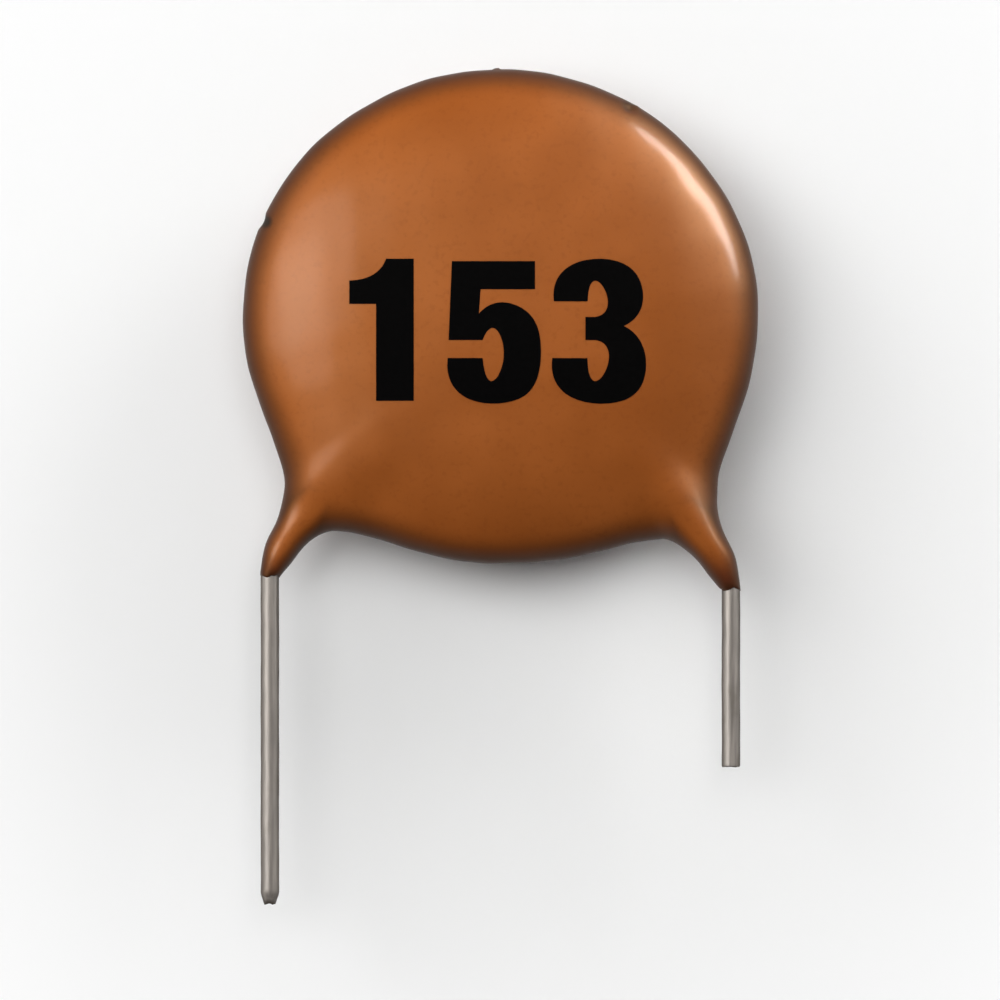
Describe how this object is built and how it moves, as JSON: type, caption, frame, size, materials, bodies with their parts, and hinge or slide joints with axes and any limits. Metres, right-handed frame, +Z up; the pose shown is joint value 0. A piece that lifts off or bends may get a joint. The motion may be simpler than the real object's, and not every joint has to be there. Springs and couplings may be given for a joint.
{
  "type": "ceramic disc capacitor",
  "caption": "Flat round resin-dipped ceramic capacitor lying on its back, with straight parallel wire leads of unequal length.",
  "frame": {"origin": "under the middle of the overall box, on the surface that the part lies on", "axes": "+X to the right of the print, +Y to the top of the print and away from the leads, +Z up out of the printed face"},
  "size_m": [0.0168, 0.0272, 0.0044],
  "materials": {
    "resin": "semi-gloss brown dipped resin",
    "ink": "flat black printing ink",
    "tinned_wire": "dull tinned wire, drawn lengthwise",
    "ceramic": "matt fired ceramic",
    "silver": "fired silver layer",
    "solder": "frozen solder"
  },
  "bodies": {
    "root": {"coating": "resin", "value_mark": "ink", "left_lead": "tinned_wire", "right_lead": "tinned_wire", "ceramic_disc": "ceramic", "front_electrode": "silver", "back_electrode": "silver", "front_solder": "solder", "back_solder": "solder"}
  },
  "joints": []
}
